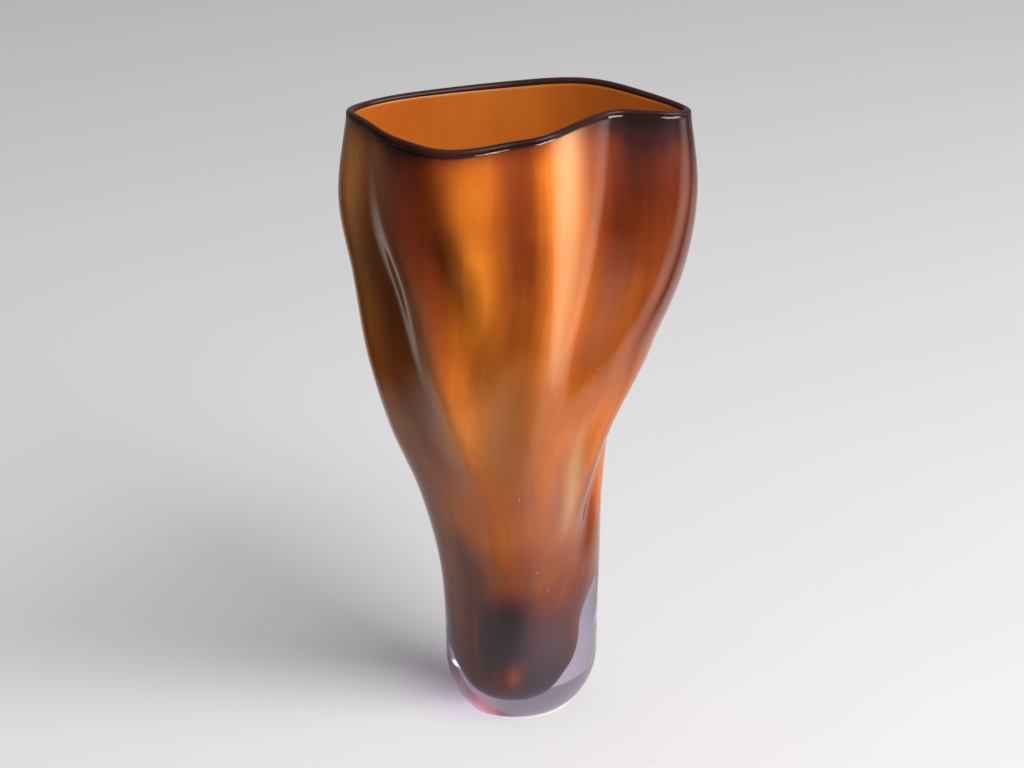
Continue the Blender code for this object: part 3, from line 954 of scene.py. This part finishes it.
# ---------------------------------------------------------------- add-on
class VaseGlass(bpy.types.PropertyGroup):
    amber: FloatVectorProperty(
        name="Amber", description="Colour of the bubble through a thin veil", subtype="COLOR", size=3, min=0,
        max=1, default=(0.62, 0.165, 0.016))
    lining: FloatVectorProperty(
        name="Lining", description="Colour of the hollow", subtype="COLOR", size=3, min=0, max=1,
        default=(0.58, 0.15, 0.016))
    amethyst: FloatVectorProperty(
        name="Amethyst", description="Colour of the overlay", subtype="COLOR", size=3, min=0, max=1,
        default=(0.048, 0.011, 0.011))
    bloom: FloatVectorProperty(
        name="Bloom", description="Milky mauve in the overlay", subtype="COLOR", size=3, min=0, max=1,
        default=(0.40, 0.17, 0.13))
    # Colour of the painted highlight along the ridges.
    cream_highlight: FloatVectorProperty(
        name="Cream", description="Milky cream drawn along the ridges", subtype="COLOR", size=3, min=0, max=1,
        default=(0.72, 0.42, 0.21))
    smoke: FloatVectorProperty(
        name="Smoke", description="Grey at the bottom of the pool", subtype="COLOR", size=3, min=0, max=1,
        default=(0.075, 0.062, 0.072))
    tint: FloatVectorProperty(
        name="Casing tint", description="Tint of the clear casing", subtype="COLOR", size=3, min=0, max=1,
        default=(0.78, 0.66, 0.855))
    tint_density: FloatProperty(
        name="Tint density", description="How fast the tint deepens", default=20.0, min=0, max=100)
    ground: FloatVectorProperty(
        name="Ground base", description="Colour of the ground underside", subtype="COLOR", size=3, min=0,
        max=1, default=(0.74, 0.68, 0.72))
    # Strength of the painted glow on the ground face.
    painted_foot_glow: FloatProperty(
        name="Foot glow", description="Light that the clear foot gathers on its ground face",
        default=0.4, min=0)
    lip: FloatVectorProperty(
        name="Lip", description="Colour of the lip wrap", subtype="COLOR", size=3, min=0, max=1,
        default=(0.030, 0.008, 0.005))


class VaseStage(bpy.types.PropertyGroup):
    lens: FloatProperty(name="Lens", description="Focal length in mm", default=107.6, min=10, max=500)
    distance: FloatProperty(
        name="Distance", description="Camera to vase", default=1.7, min=0.3, max=10, unit="LENGTH")
    elevation: FloatProperty(
        name="Elevation", description="Camera over the horizon", default=math.radians(22), unit="ROTATION")
    key_power: FloatProperty(name="Key", description="Power of the key lamp in watts", default=112.0)
    card_side: FloatProperty(
        name="Card side", description="Where the lit card stands", default=math.radians(348), unit="ROTATION")
    card_half_width: FloatProperty(
        name="Card width", description="Half the card's angle", default=math.radians(23), unit="ROTATION")
    card_strength: FloatProperty(name="Card", description="Strength of the lit card", default=2.1)
    room_light: FloatProperty(name="Room", description="Strength of the room's light", default=0.36)


class VASE_OT_colour_layer(bpy.types.Operator):
    """Add the violet overlay with its drifts of colour"""
    bl_idname = "vase.colour_layer"
    bl_label = "Violet overlay"

    def execute(self, context):
        build_colour_layer(context.scene.vase_glass)
        return {"FINISHED"}


class VASE_OT_lining(bpy.types.Operator):
    """Add the amber bubble that makes the hollow"""
    bl_idname = "vase.lining"
    bl_label = "Amber hollow"

    def execute(self, context):
        build_lining(context.scene.vase_glass)
        return {"FINISHED"}


class VASE_OT_casing(bpy.types.Operator):
    """Add the clear casing and its heavy foot"""
    bl_idname = "vase.casing"
    bl_label = "Clear casing"

    def execute(self, context):
        build_casing(context.scene.vase_glass)
        return {"FINISHED"}


class VASE_OT_lip(bpy.types.Operator):
    """Add the dark wrap round the lip"""
    bl_idname = "vase.lip"
    bl_label = "Lip wrap"

    def execute(self, context):
        build_lip(context.scene.vase_glass)
        return {"FINISHED"}


class VASE_OT_seeds(bpy.types.Operator):
    """Add the air seeds trapped under the casing"""
    bl_idname = "vase.seeds"
    bl_label = "Air seeds"

    def execute(self, context):
        build_seeds()
        return {"FINISHED"}


class VASE_OT_stage(bpy.types.Operator):
    """Add the pale floor, the soft light and the camera"""
    bl_idname = "vase.stage"
    bl_label = "Stage"

    def execute(self, context):
        build_stage(context.scene.vase_stage)
        return {"FINISHED"}


OPERATORS = (VASE_OT_colour_layer, VASE_OT_lining, VASE_OT_casing, VASE_OT_lip, VASE_OT_seeds, VASE_OT_stage)


class VASE_PT_panel(bpy.types.Panel):
    """Lists the colours, the stage settings and the pieces"""
    bl_idname = "VASE_PT_panel"
    bl_label = "Freeform vase"
    bl_space_type = "VIEW_3D"
    bl_region_type = "UI"
    bl_category = "Vase"

    def draw(self, context):
        for group in (context.scene.vase_glass, context.scene.vase_stage):
            column = self.layout.column()
            for name in group.__annotations__:
                column.prop(group, name)
        for operator in OPERATORS:
            self.layout.operator(operator.bl_idname)


CLASSES = (VaseGlass, VaseStage, *OPERATORS, VASE_PT_panel)


def register():
    for entry in CLASSES:
        bpy.utils.register_class(entry)
    bpy.types.Scene.vase_glass = PointerProperty(type=VaseGlass)
    bpy.types.Scene.vase_stage = PointerProperty(type=VaseStage)


def unregister():
    del bpy.types.Scene.vase_stage
    del bpy.types.Scene.vase_glass
    for entry in reversed(CLASSES):
        bpy.utils.unregister_class(entry)


def main():
    register()
    bpy.ops.vase.colour_layer()
    bpy.ops.vase.lining()
    bpy.ops.vase.casing()
    bpy.ops.vase.lip()
    bpy.ops.vase.seeds()
    bpy.ops.vase.stage()


if __name__ == "__main__":
    main()
